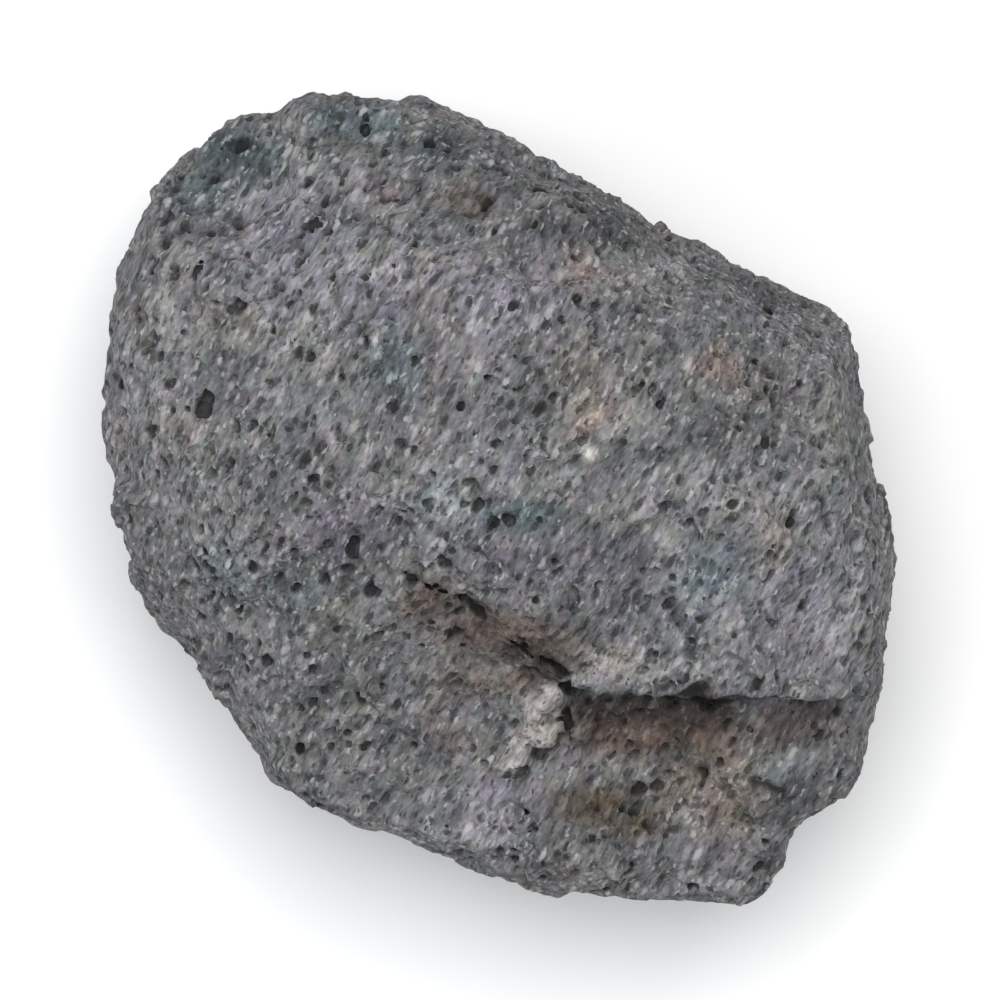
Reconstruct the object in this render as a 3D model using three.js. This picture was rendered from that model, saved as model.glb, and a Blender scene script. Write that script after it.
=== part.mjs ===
// A loose lump of vesicular lava rock, lying on its broad fracture face. Millimetres, +Z up.
// The lump is one solid. Flat facets show where it broke off a larger mass. Near the -Y side a
// ledge crosses the top, with a hollow floor below it and a scarred lower mass beside the hollow.
import * as THREE from "three";
import { ImprovedNoise } from "three/addons/math/ImprovedNoise.js";

// Driving dimensions.
const CELL = 2.95; // spacing of the vertices on the surface
const SIDE_ROUNDING = 0.8; // how softly two side facets meet
const CROWN_ROUNDING = 1.8; // how softly two facets of the crown meet
const JOIN_ROUNDING = 0.35; // how softly two masses meet
const WAVINESS = [
  // waviness of the broken faces, as [wavelength, height]
  [34, 2.6],
  [15, 1.5],
  [7, 0.5],
];
const BEND = { wavelength: 17, reach: 3.2 }; // how far the facets' edges stray from straight
const GIRTH = {
  height: 38, // level at which the stone is widest
  band: 16, // height over which the sides lose the outline's exact shape
  drawIn: 0.0058, // how fast they draw in, per squared distance from that level
  waviness: 0.06, // how much wavier they get, per distance from it
};
const LATTICE_TURN = [0.7, 0.5, 1.2]; // turns the noise away from the axes, in radians
const SEARCH = { low: [-61, -62, -4.5], high: [61, 62, 76] }; // space searched for the surface
const HOLD = 0.12; // pull of a vertex towards the middle of its cell's crossings
const CELL_MARGIN = 0.06; // share of its cell that a vertex keeps clear of each wall
const PROBE = 0.1; // step for measuring the field's slope
const BASE_SNAP = 0.2; // a vertex this near the ground plane lies on it

// The outline seen from above, clockwise from the bump on the +Y edge.
const OUTLINE = [
  [-23.5, 56], [-18.5, 54], [-11, 53.5], [-4.5, 50], [0, 47.2], [18, 37.6], [20, 35], [25, 34.5],
  [34, 29.8], [40.5, 28.6], [46, 26], [48, 11], [51.5, -6], [52, -13], [50, -27.5], [46.5, -37.5],
  [39, -42.5],
  [36.5, -50], [34.5, -52.5], [31.5, -53.5], [21, -52], [3, -51], [-7, -47], [-13.5, -43.5],
  [-19.5, -43], [-29, -38.5], [-34, -30.5], [-41, -20.5], [-47.5, -13.5], [-51, -5], [-50.5, 2.5],
  [-52, 8], [-51.5, 23], [-49.5, 34.5], [-46, 40.5], [-40, 45], [-35.5, 50], [-27.5, 51],
];

// Every facet is a plane, as [azimuth, elevation, reach, height]: the direction it faces, in degrees
// from +X towards +Y and in degrees above the horizon, and a point that it passes through, at that
// reach from the Z axis along that azimuth and at that height.
const UPPER_SIDES = [
  [61, 12, 43, 34],
  [35, 18, 51, 36],
  [13, 14, 49.5, 40],
  [-12, 8, 54.2, 42],
  [-50, 5, 63.5, 38],
  [-95, 8, 53.4, 40],
  [-114, 13, 47.4, 34],
  [-143, 18, 48, 32],
  [181, 14, 53, 34],
  [157, 19, 60, 30],
  [130, 19, 62.5, 34],
  [94, 16, 55.2, 34],
];
const LOWER_SIDES = [
  [61, -17, 43, 26],
  [28, -36, 51, 31],
  [-8, -26, 54, 36],
  [-44, -40, 62, 34],
  [-95, -20, 53, 33],
  [-125, -31, 48.5, 25],
  [-168, -22, 51.5, 22],
  [157, -40, 60.5, 27],
  [118, -28, 60, 20],
  [84, -19, 54.5, 25],
];
const CROWN = [
  [215, 84, 0, 68.2],
  [90, 88, 0, 69.3],
  [-8, 80, 0, 70],
  [-92, 69, 17, 66.5],
  [61, 50, 35.5, 60.5],
  [20, 58, 45, 59],
  [100, 53, 43.5, 58],
  [132, 46, 52.5, 52],
  [175, 58, 42, 57],
  [-150, 56, 36, 57],
  [-14, 44, 49, 56],
];
// The ledge: an undercut wall over the hollow, and a leaning wall beside the lower mass.
const LEDGE = [
  [-90.8, -16, 24.6, 60],
  [-123.5, 40, 13.6, 61],
];
const LOWER_MASS = [
  [-84, 68, 20, 57],
  [-118, 44, 38, 50],
  [-18, -10, 15.6, 53],
];
const HOLLOW_FLOOR = [
  [-100, 81, 28, 51.5],
  [-94, 42, 48, 47],
  [-25, 52, 52, 48],
];
const RIM = [
  [80, 70, -43.5, 50.5],
  [-94, 40, 47, 50],
  [-35, 50, 57, 46],
];
// Bowls left by broken gas pockets, as [azimuth, reach, height, radius].
const BOWLS = [
  [112, 91.5, 24, 38],
  [-176, 84, 24, 35],
  [-62, 86, 14, 36],
];

const toFacet = ([azimuth, elevation, reach, height]) => {
  const a = THREE.MathUtils.degToRad(azimuth);
  const e = THREE.MathUtils.degToRad(elevation);
  const facing = new THREE.Vector3(Math.cos(e) * Math.cos(a), Math.cos(e) * Math.sin(a), Math.sin(e));
  const point = new THREE.Vector3(reach * Math.cos(a), reach * Math.sin(a), height);
  return new THREE.Plane().setFromNormalAndCoplanarPoint(facing, point);
};

const smoothMax = (values, rounding) => {
  const top = Math.max(...values);
  const sum = values.reduce((total, value) => total + Math.exp((value - top) / rounding), 0);
  return top + rounding * Math.log(sum);
};
const smoothMin = (values, rounding) => -smoothMax(values.map((value) => -value), rounding);

// A bounded mass is all that lies behind every one of its facets.
const mass = (facets, rounding) => {
  const planes = facets.map(toFacet);
  return (p) => smoothMax(planes.map((plane) => plane.distanceToPoint(p)), rounding);
};

// Distance to the outline, negative within it, whatever the height.
const outline = (p) => {
  let nearest = Infinity;
  let inside = false;
  OUTLINE.forEach(([ax, ay], n) => {
    const [bx, by] = OUTLINE[(n + 1) % OUTLINE.length];
    const [dx, dy] = [bx - ax, by - ay];
    const along = ((p.x - ax) * dx + (p.y - ay) * dy) / (dx * dx + dy * dy);
    const t = THREE.MathUtils.clamp(along, 0, 1);
    nearest = Math.min(nearest, Math.hypot(p.x - ax - t * dx, p.y - ay - t * dy));
    if (ay > p.y !== by > p.y && p.x < ax + ((p.y - ay) / dy) * dx) inside = !inside;
  });
  return inside ? -nearest : nearest;
};

const sides = mass([...UPPER_SIDES, ...LOWER_SIDES], SIDE_ROUNDING);
const crown = mass(CROWN, CROWN_ROUNDING);
const stages = [LEDGE, LOWER_MASS, HOLLOW_FLOOR, RIM].map((facets) => mass(facets, SIDE_ROUNDING));

const bowls = BOWLS.map(([azimuth, reach, height, radius]) => {
  const a = THREE.MathUtils.degToRad(azimuth);
  return new THREE.Sphere(new THREE.Vector3(reach * Math.cos(a), reach * Math.sin(a), height), radius);
});

// Noise at a point, on a lattice turned away from the axes.
const perlin = new ImprovedNoise();
const turn = new THREE.Euler(...LATTICE_TURN);
const noise = (p, wavelength, seed) => {
  const q = p.clone().applyEuler(turn).divideScalar(wavelength);
  return perlin.noise(q.x + seed, q.y + 2.3 * seed, q.z - seed);
};
const waves = (p) => {
  return WAVINESS.reduce((sum, [wavelength, height]) => sum + height * noise(p, wavelength, 7.31), 0);
};
const bent = (p) => {
  const stray = [11.2, 23.7, 35.1].map((seed) => BEND.reach * noise(p, BEND.wavelength, seed));
  return p.clone().add(new THREE.Vector3(...stray));
};

// Below zero inside the stone, above zero outside, and about a distance in between.
const stone = (p) => {
  const q = bent(p);
  const wave = waves(p);
  const stepped = smoothMin(stages.map((stage) => stage(q)), JOIN_ROUNDING);
  const broken = [crown(q), stepped, sides(q), ...bowls.map((bowl) => -bowl.distanceToPoint(q))];
  const off = Math.abs(p.z - GIRTH.height);
  const plan = p.clone().lerp(q, Math.min(1, off / GIRTH.band));
  const girth = outline(plan) + GIRTH.drawIn * off ** 2 + GIRTH.waviness * off * wave;
  return Math.max(smoothMax([...broken.map((one) => one + wave), girth], SIDE_ROUNDING), -p.z);
};

const slopeOf = (field, p) => {
  const along = (axis) => {
    const step = new THREE.Vector3().setComponent(axis, PROBE);
    return field(p.clone().add(step)) - field(p.clone().sub(step));
  };
  return new THREE.Vector3(along(0), along(1), along(2));
};

// The point that lies closest to all the planes through the crossings, held near their middle.
const meetingPoint = (crossings, normals, hold) => {
  const middle = crossings.reduce((sum, p) => sum.add(p), new THREE.Vector3()).divideScalar(crossings.length);
  const m = [hold, 0, 0, 0, hold, 0, 0, 0, hold];
  const right = new THREE.Vector3();
  crossings.forEach((p, n) => {
    const normal = normals[n].toArray();
    const offset = normals[n].dot(p.clone().sub(middle));
    normal.forEach((a, row) => {
      normal.forEach((b, column) => (m[3 * row + column] += a * b));
      right.setComponent(row, right.getComponent(row) + a * offset);
    });
  });
  return right.applyMatrix3(new THREE.Matrix3().set(...m).invert()).add(middle);
};

// Dual contouring: one vertex in each grid cell that the surface crosses, one quad for each grid edge.
const polygonise = (field, { low, high }, cell) => {
  const origin = new THREE.Vector3(...low);
  const count = high.map((end, axis) => Math.ceil((end - low[axis]) / cell) + 1);
  const index = (i, j, k) => (k * count[1] + j) * count[0] + i;
  const point = (i, j, k) => new THREE.Vector3(i, j, k).multiplyScalar(cell).add(origin);
  const everyCell = (visit) => {
    for (let k = 0; k < count[2] - 1; k++) {
      for (let j = 0; j < count[1] - 1; j++) {
        for (let i = 0; i < count[0] - 1; i++) visit(i, j, k);
      }
    }
  };
  const values = [];
  for (let k = 0; k < count[2]; k++) {
    for (let j = 0; j < count[1]; j++) {
      for (let i = 0; i < count[0]; i++) values.push(field(point(i, j, k)));
    }
  }

  const corners = [0, 1, 2, 3, 4, 5, 6, 7].map((n) => [n & 1, (n >> 1) & 1, n >> 2]);
  const isEdge = (a, b) => Math.hypot(a[0] - b[0], a[1] - b[1], a[2] - b[2]) === 1;
  const edgesFrom = (a, n) => corners.slice(n + 1).filter((b) => isEdge(a, b)).map((b) => [a, b]);
  const edges = corners.flatMap(edgesFrom);
  const margin = CELL_MARGIN * cell;
  const vertices = [];
  const vertexIn = new Map();
  everyCell((i, j, k) => {
    const crossings = [];
    for (const [a, b] of edges) {
      const va = values[index(i + a[0], j + a[1], k + a[2])];
      const vb = values[index(i + b[0], j + b[1], k + b[2])];
      if (va < 0 === vb < 0) continue;
      const start = point(i + a[0], j + a[1], k + a[2]);
      crossings.push(start.lerp(point(i + b[0], j + b[1], k + b[2]), va / (va - vb)));
    }
    if (!crossings.length) return;
    const normals = crossings.map((p) => slopeOf(field, p).normalize());
    const lowest = point(i, j, k).addScalar(margin);
    const highest = point(i + 1, j + 1, k + 1).addScalar(-margin);
    vertexIn.set(index(i, j, k), vertices.length);
    vertices.push(meetingPoint(crossings, normals, HOLD).clamp(lowest, highest));
  });

  const triangles = [];
  const steps = [[1, 0, 0], [0, 1, 0], [0, 0, 1]];
  everyCell((i, j, k) => {
    if (i * j * k === 0) return;
    steps.forEach((step, axis) => {
      const here = values[index(i, j, k)] < 0;
      const there = values[index(i + step[0], j + step[1], k + step[2])] < 0;
      if (here === there) return;
      const u = steps[(axis + 1) % 3];
      const v = steps[(axis + 2) % 3];
      const quad = [[0, 0], [1, 0], [1, 1], [0, 1]].map(([m, n]) => {
        return vertexIn.get(index(i - m * u[0] - n * v[0], j - m * u[1] - n * v[1], k - m * u[2] - n * v[2]));
      });
      const [a, b, c, d] = here ? quad : quad.reverse();
      const shortWay = vertices[a].distanceTo(vertices[c]) < vertices[b].distanceTo(vertices[d]);
      triangles.push(...(shortWay ? [a, b, c, a, c, d] : [a, b, d, b, c, d]));
    });
  });
  return { vertices, triangles };
};

const { vertices, triangles } = polygonise(stone, SEARCH, CELL);
for (const p of vertices) {
  if (Math.abs(p.z) < BASE_SNAP) p.z = 0;
}

const geometry = new THREE.BufferGeometry().setFromPoints(vertices).setIndex(triangles);
geometry.computeBoundingBox();
const middle = geometry.boundingBox.getCenter(new THREE.Vector3());
geometry.translate(-middle.x, -middle.y, 0);
geometry.computeVertexNormals();

const lava = new THREE.MeshStandardMaterial({ color: 0x6f6f71, roughness: 0.95, metalness: 0 });
const rock = new THREE.Mesh(geometry, lava);
rock.name = "lava_rock";

const group = new THREE.Group();
group.add(rock);
export default group;
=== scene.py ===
"""A loose lump of grey vesicular lava, with broken facets, gas bubbles and an undercut ledge.

Run as a script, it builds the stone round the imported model, then the floor, the lights and the camera.
"""

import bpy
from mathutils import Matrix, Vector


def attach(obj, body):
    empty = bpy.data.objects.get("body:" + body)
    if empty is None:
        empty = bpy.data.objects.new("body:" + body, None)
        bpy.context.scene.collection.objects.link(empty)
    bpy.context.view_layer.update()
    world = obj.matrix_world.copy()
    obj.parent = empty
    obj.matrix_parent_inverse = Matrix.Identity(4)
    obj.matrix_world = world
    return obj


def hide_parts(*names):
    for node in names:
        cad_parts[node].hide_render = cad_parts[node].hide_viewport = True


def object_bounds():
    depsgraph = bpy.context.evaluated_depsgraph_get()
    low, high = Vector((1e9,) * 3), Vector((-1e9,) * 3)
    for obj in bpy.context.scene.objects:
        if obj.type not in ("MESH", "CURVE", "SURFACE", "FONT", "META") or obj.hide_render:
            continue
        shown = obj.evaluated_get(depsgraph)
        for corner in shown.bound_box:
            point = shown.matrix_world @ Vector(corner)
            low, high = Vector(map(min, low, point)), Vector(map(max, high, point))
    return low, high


bl_info = {
    "name": "Lava Stone",
    "version": (1, 0, 0),
    "blender": (4, 5, 0),
    "location": "View3D > Sidebar > Lava",
    "description": "Carves gas bubbles and broken relief into a plain stone and gives it its finish",
    "category": "Add Mesh",
}

import math

import bmesh
import bpy
import numpy as np
from mathutils import Vector
from mathutils.bvhtree import BVHTree

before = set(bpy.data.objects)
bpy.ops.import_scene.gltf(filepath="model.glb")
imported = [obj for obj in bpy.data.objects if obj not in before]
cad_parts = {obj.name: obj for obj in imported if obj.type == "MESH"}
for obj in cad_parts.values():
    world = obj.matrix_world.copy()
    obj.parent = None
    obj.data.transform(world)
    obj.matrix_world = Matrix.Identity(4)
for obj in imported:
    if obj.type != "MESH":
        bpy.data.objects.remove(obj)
CAD_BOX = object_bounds()

MM = 0.001
STONE_NODE = "lava_rock"
STONE_PIECE = "lava_stone"
BODY = "root"

# Grooves and holes at their own places on the top, laid on its skin: name, path of (x, y), radius at each
# end and how far the middle of the bore lies above the skin, in millimetres.
GROOVES = (
    ("flank crack", ((0.6, -17.8), (3.2, -19.3), (6.4, -21.0), (9.2, -23.2)), (0.8, 1.1), -0.7),
    ("flank head", ((-11.6, -10.2), (-7.4, -11.4), (-4.4, -12.8), (-2.6, -14.8)), (0.5, 1.0), -0.2),
    ("scar crescent", ((8.6, -27.4), (8.9, -29.6), (7.9, -31.8), (5.2, -33.2)), (0.6, 0.9), -0.3),
    ("scar foot crack", ((-1.0, -35.6), (0.8, -36.0), (2.8, -35.6)), (0.4, 0.6), 0.0),
    ("rim crack", ((11.5, -40.2), (15.0, -42.3), (19.5, -42.6), (25.5, -43.8)), (0.4, 0.6), 0.1),
    ("rim corner crack", ((33.0, -36.6), (36.5, -38.2), (39.5, -40.6)), (0.5, 0.8), -0.1),
    ("lip split", ((31.4, -26.8), (32.6, -25.2), (34.4, -23.2)), (1.2, 0.6), -0.3),
    ("lip notch", ((24.4, -26.4), (25.8, -24.8), (27.2, -23.6)), (1.4, 0.7), -0.2),
    ("left hole", ((-39.0, 11.8), (-38.2, 13.4)), (1.2, 1.0), -0.5),
    ("crown edge hole", ((-23.6, 50.0), (-22.8, 50.9)), (1.2, 1.0), -0.3),
)

# Cuts at a height of their own: name, path of (x, y, z) and radius at each end, in millimetres. They run
# along the foot of the ledge's wall, undercut it and square the lip above it.
LIP_FOOT = (
    (9.5, -24.8, 55.0),
    (13.0, -25.4, 54.6),
    (20.0, -25.7, 55.0),
    (26.0, -25.8, 56.0),
    (33.0, -25.8, 56.8),
    (40.0, -26.4, 55.6),
    (47.0, -26.9, 52.0),
)
CUTS = tuple(
    (name, tuple((x, y + back, z + rise) for x, y, z in LIP_FOOT), radii)
    for name, back, rise, radii in (
        ("undercut", 0.6, 0.0, (1.8, 2.3)),
        ("wall, low", -2.0, 1.8, (2.3, 2.3)),
        ("wall, middle", -2.2, 4.0, (2.3, 2.3)),
        ("wall, high", -2.3, 6.2, (2.3, 2.3)),
        ("wall, top", -2.3, 8.4, (2.3, 2.3)),
    )
)

# The largest open bubbles: middle (x, y), length along the flow and radius, in millimetres.
PITS = (
    ((-34.0, 47.0), 2.0, 1.1), ((-31.0, 44.6), 2.8, 0.7), ((-28.7, 38.0), 2.0, 0.7),
    ((-24.2, 36.0), 1.0, 0.9), ((-39.2, 30.2), 2.4, 0.7), ((-41.6, 22.7), 1.2, 0.7),
    ((-35.0, 15.2), 1.8, 0.6), ((-25.4, 5.4), 0.8, 0.8), ((-13.1, 40.8), 0.8, 0.9),
    ((-3.6, 40.5), 1.0, 0.8), ((-20.8, 22.4), 1.4, 0.6), ((-18.3, 22.5), 1.2, 0.6),
    ((-14.0, 12.2), 1.2, 0.9), ((-13.0, 7.1), 0.8, 1.0), ((-16.0, 4.4), 1.2, 0.9),
    ((-2.9, -0.6), 1.0, 0.8), ((-1.1, -3.1), 1.4, 0.8), ((1.8, 25.2), 1.2, 0.6),
    ((3.8, 4.8), 1.2, 0.7), ((10.2, 2.4), 1.0, 0.8), ((5.3, 11.7), 1.0, 0.7),
    ((23.6, 27.0), 0.8, 0.6), ((-23.0, -10.3), 1.0, 0.8), ((-16.9, -11.8), 1.0, 0.8),
    ((-30.6, -21.0), 1.0, 0.8), ((-22.0, -19.5), 0.8, 0.7), ((29.4, 11.7), 1.0, 0.7),
    ((13.7, 32.4), 0.8, 0.6),
)

# Raised marks on the skin, laid like the grooves.
KNOBS = (
    ("scar flake", ((9.8, -24.8), (7.4, -26.0), (4.8, -27.8), (3.4, -30.6), (2.6, -34.2)),
     (1.2, 1.6), -0.8),
    ("scar knob", ((5.9, -30.0), (5.5, -31.5)), (2.1, 1.9), -0.8),
    ("lip, left", ((10.2, -23.2), (12.5, -23.8), (16.0, -24.4)), (1.5, 1.2), -0.3),
    ("lip, right", ((39.0, -24.9), (43.5, -24.9), (48.0, -24.6)), (1.3, 1.5), -0.2),
    ("crown edge", ((-26.0, 50.2), (-21.5, 50.6), (-17.0, 50.9), (-12.5, 50.4)), (3.4, 2.8), -2.0),
    ("foot lump", ((1.2, -41.0), (2.8, -42.2)), (1.7, 1.4), -1.0),
    ("bevel edge", ((1.5, 45.0), (6.0, 43.0), (10.5, 40.8)), (2.6, 2.4), -1.2),
)

# The way the lava flowed, along which its bubbles and its grain are drawn out.
FLOW = (0.5, 0.866, 0.0)

# Tints at their own places: which tint, middle (x, y) and half widths in millimetres, and strength. Light
# and dark make the colour paler or deeper: partly the stone's own tone, partly painted light and painted
# shade, lighter on the right bulge and the lip's top, darker on the north bevels, along the crown's
# valley, in the hollow, under the lip and at the edges.
PATCHES = (
    # The north-west corner, the top edge and the bevel beside it
    ("teal", (-34.0, 45.0), (6.0, 4.0), 1.0),
    ("teal", (-39.0, 40.0), (4.0, 4.0), 0.8),
    ("teal", (-23.0, 50.0), (3.0, 2.0), 1.0),
    ("teal", (-17.0, 49.0), (6.0, 2.5), 0.9),
    ("teal", (-8.0, 46.0), (4.0, 3.0), 0.8),
    # Painted shade along the north-west corner, the top edge and the bevel beside it.
    ("dark", (-34.0, 45.0), (7.0, 4.0), 0.8),
    ("dark", (-39.0, 40.5), (3.0, 4.0), 0.5),
    ("dark", (-22.0, 50.0), (4.0, 3.0), 1.0),
    ("dark", (-8.0, 46.0), (5.0, 4.0), 0.9),
    ("dark", (2.0, 42.0), (8.0, 3.5), 0.6),
    ("dark", (13.0, 36.0), (15.0, 3.5), 0.95),
    ("dark", (34.0, 27.5), (9.0, 3.0), 0.9),
    ("brown", (-4.0, 39.0), (5.0, 3.5), 0.75),
    ("rose", (-14.0, 40.0), (3.0, 2.0), 0.4),
    # The crown
    ("violet", (-27.0, 33.0), (11.0, 11.0), 0.6),
    ("violet", (-16.0, 26.0), (8.0, 8.0), 0.5),
    ("violet", (0.0, 26.0), (9.0, 10.0), 0.6),
    ("violet", (-6.0, 13.0), (5.0, 5.0), 0.4),
    ("violet", (34.0, 25.0), (6.0, 3.0), 0.6),
    ("violet", (-20.0, -4.0), (9.0, 4.0), 0.7),
    ("violet", (7.0, -8.0), (14.0, 4.0), 0.7),
    ("violet", (40.0, -13.0), (8.0, 12.0), 0.6),
    ("teal", (-18.0, 33.0), (2.5, 4.0), 0.4),
    ("teal", (-14.0, 18.0), (3.5, 6.0), 0.8),
    ("teal", (-8.0, -0.5), (3.5, 2.0), 1.0),
    ("teal", (3.0, -2.0), (6.0, 2.5), 0.9),
    ("teal", (28.0, -10.0), (6.0, 5.0), 0.7),
    ("rose", (11.0, 30.0), (4.0, 3.0), 0.5),
    ("rose", (11.0, 10.5), (2.0, 1.6), 0.7),
    ("tan", (10.5, 14.5), (6.5, 6.0), 0.6),
    ("rose", (28.0, 18.0), (3.5, 3.0), 0.55),
    ("rose", (-42.0, 9.0), (4.0, 5.0), 0.35),
    ("tan", (33.0, 16.0), (6.5, 4.0), 0.6),
    ("brown", (36.0, 14.0), (3.0, 2.5), 0.4),
    ("olive", (18.0, 18.0), (5.0, 6.0), 0.5),
    ("olive", (45.0, 8.0), (4.0, 6.0), 0.5),
    ("olive", (-36.0, 21.0), (5.0, 4.0), 0.5),
    ("olive", (-24.0, 16.0), (3.0, 3.0), 0.3),
    ("tan", (36.0, -6.0), (3.0, 5.0), 0.5),
    ("tan", (15.0, -20.5), (4.0, 2.0), 0.4),
    ("light", (-27.0, 40.0), (3.0, 5.0), 0.8),
    ("light", (-29.0, 29.0), (6.0, 7.0), 0.7),
    ("light", (-1.0, 28.0), (5.0, 6.0), 0.4),
    ("pale", (-17.8, 32.0), (1.6, 1.6), 0.4),
    ("pale", (-16.2, 21.3), (0.5, 1.4), 1.0),
    ("pale", (11.7, 5.9), (1.1, 1.0), 0.9),
    ("pale", (-8.0, -0.5), (4.0, 2.2), 0.42),
    ("light", (-12.0, 28.0), (3.0, 6.0), 0.6),
    ("light", (12.0, 13.0), (4.0, 5.0), 0.5),
    ("light", (-36.0, 21.0), (5.0, 3.0), 0.3),
    ("light", (-8.0, -0.5), (4.5, 2.8), 1.0),
    ("light", (-1.0, 5.5), (6.0, 3.0), 0.7),
    # Painted light on the right bulge and along the top of the lip.
    ("light", (36.0, -7.0), (3.0, 5.0), 0.8),
    ("light", (44.0, -12.0), (6.0, 10.0), 0.9),
    ("light", (32.0, 0.5), (9.0, 4.0), 0.7),
    ("light", (17.0, -21.5), (8.0, 2.5), 0.5),
    ("light", (13.0, -23.2), (4.5, 1.3), 0.6),
    # Deeper tone, and painted shade along the valley across the crown.
    ("dark", (30.0, 9.0), (6.0, 3.0), 0.9),
    ("dark", (-19.0, -5.0), (8.0, 4.0), 0.7),
    ("dark", (4.0, -2.5), (6.0, 2.5), 0.5),
    ("dark", (8.0, -8.0), (12.0, 3.0), 0.6),
    ("dark", (18.0, -8.5), (4.0, 4.0), 0.6),
    ("dark", (-13.0, 16.0), (4.0, 8.0), 0.5),
    ("dark", (-28.0, 37.0), (5.0, 2.0), 0.3),
    ("dark", (-38.0, 12.5), (3.0, 3.0), 0.5),
    ("light", (-44.0, 14.0), (8.0, 15.0), 0.5),
    ("light", (26.0, -12.0), (7.0, 6.0), 0.3),
    # The lower left, the leaning flank and the scar at its foot
    ("teal", (-36.0, -10.0), (5.0, 6.0), 0.6),
    ("teal", (-27.0, -12.0), (5.0, 3.0), 0.7),
    ("teal", (-10.0, -23.0), (3.0, 3.0), 0.3),
    ("light", (-36.0, -9.0), (4.0, 5.0), 0.3),
    # Painted shade over the lower left and at its left edge.
    ("dark", (-25.0, -11.0), (7.0, 3.0), 0.4),
    ("dark", (-20.0, -27.0), (16.0, 12.0), 0.3),
    ("dark", (-46.0, -8.0), (5.0, 9.0), 0.5),
    ("brown", (-9.0, -13.6), (4.5, 3.5), 0.8),
    ("brown", (-2.0, -17.0), (6.0, 4.0), 0.9),
    ("brown", (6.0, -18.0), (7.0, 3.5), 0.8),
    ("brown", (-4.0, -23.0), (7.0, 5.0), 0.5),
    ("brown", (4.0, -23.2), (4.0, 2.4), 0.7),
    ("rose", (-9.0, -29.0), (4.0, 4.0), 0.35),
    ("brown", (-8.0, -31.5), (5.0, 2.0), 0.4),
    # Painted shade along the grooves at the head of the flank and along its crack.
    ("painted_shade", (-10.5, -10.6), (2.0, 0.8), 0.6),
    ("painted_shade", (-3.8, -13.6), (2.2, 1.1), 0.7),
    ("painted_shade", (3.0, -19.5), (2.8, 1.5), 0.85),
    ("painted_shade", (6.6, -21.6), (3.0, 1.8), 0.95),
    ("pale", (7.2, -25.4), (1.7, 1.4), 0.8),
    ("pale", (5.4, -27.4), (2.0, 2.2), 1.0),
    ("pale", (4.8, -30.8), (2.6, 2.4), 1.0),
    ("pale", (2.0, -32.0), (2.4, 2.0), 0.9),
    ("pale", (0.8, -34.4), (2.4, 2.0), 0.8),
    ("light", (0.5, -40.5), (4.5, 4.5), 0.8),
    ("violet", (0.0, -40.0), (6.0, 6.0), 0.6),
    # The hollow under the ledge, and its rim
    # Painted shade under the lip and in the hollow.
    ("painted_shade", (16.0, -27.4), (8.0, 1.8), 1.0),
    ("painted_shade", (25.0, -27.6), (5.0, 2.2), 1.0),
    ("painted_shade", (26.0, -25.2), (1.8, 1.6), 1.0),
    ("painted_shade", (40.0, -27.8), (6.0, 1.6), 0.6),
    ("violet", (40.0, -28.8), (7.0, 2.4), 0.6),
    ("brown", (20.0, -30.2), (13.0, 3.4), 1.0),
    ("brown", (38.0, -30.0), (9.0, 2.5), 0.6),
    ("brown", (32.0, -40.0), (4.0, 4.0), 0.4),
    ("tan", (26.0, -35.5), (8.0, 5.0), 0.75),
    ("tan", (30.0, -39.5), (6.0, 5.0), 0.65),
    ("ochre", (12.5, -40.0), (6.0, 3.0), 0.85),
    ("ochre", (18.0, -42.5), (4.0, 2.5), 0.8),
    ("teal", (37.0, -36.0), (6.0, 3.0), 0.5),
    ("violet", (27.0, -46.0), (7.0, 3.0), 0.6),
    ("light", (37.0, -36.0), (5.0, 2.0), 0.3),
    ("dark", (14.0, -40.5), (7.0, 4.0), 0.8),
    ("dark", (27.0, -46.0), (6.0, 2.5), 0.5),
    ("dark", (22.0, -47.0), (14.0, 5.0), 0.3),
    # Painted shade in the hollow, at the lower right edge and along the lip's edge.
    ("dark", (24.0, -32.0), (14.0, 5.0), 0.5),
    ("dark", (37.0, -31.0), (4.5, 2.0), 0.9),
    ("dark", (39.0, -39.0), (5.0, 3.0), 0.8),
    ("dark", (13.0, -24.6), (3.0, 0.9), 0.6),
    ("dark", (30.5, -24.8), (3.0, 0.9), 0.6),
)
# How far down a patch reaches from its middle, in millimetres.
PATCH_DEPTH = 14.0

# The tints in the order in which they lie over each other, with the strength at which each begins to show
# and the most of it that shows.
TINTS = (
    ("violet", 0.45, 0.8),
    ("teal", 0.45, 0.9),
    ("olive", 0.45, 0.8),
    ("rose", 0.45, 0.75),
    ("tan", 0.45, 0.8),
    ("brown", 0.45, 0.85),
    ("ochre", 0.45, 0.8),
    ("pale", 0.42, 0.9),
    # Painted shade in the deep corners, laid over all the tints.
    ("painted_shade", 0.35, 0.85),
)
MASKS = (*(name for name, *_rest in TINTS), "light", "dark")

# What the carving stores for the finish: the depth under the skin, and mottling of three sizes.
FIELDS = ("depth", "stray", "patchy", "blotchy")

# The two kinds of gas bubble: smallest and largest radius, how rare the largest are, how far under the
# skin their middles lie, in radii, and the size of the areas in which they crowd.
LARGE_BUBBLES = (0.50 * MM, 1.10 * MM, 2.8, (-0.1, 0.6), 18 * MM)
SMALL_BUBBLES = (0.24 * MM, 0.60 * MM, 1.6, (-0.1, 0.55), 9 * MM)

# A carved piece with fewer points than this is a sealed bubble or a loose crumb.
CRUMB_POINTS = 20000.0

# The lights: name, place from the middle of the stone in metres, width in metres and colour.
KEY_LIGHT = ("key", (0.06, 0.20, 0.9), 0.5, (1.0, 0.99, 0.97))
FILL_LIGHT = ("fill", (-0.45, -0.10, 0.8), 0.8, (0.95, 0.97, 1.0))


# Node trees

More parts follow.
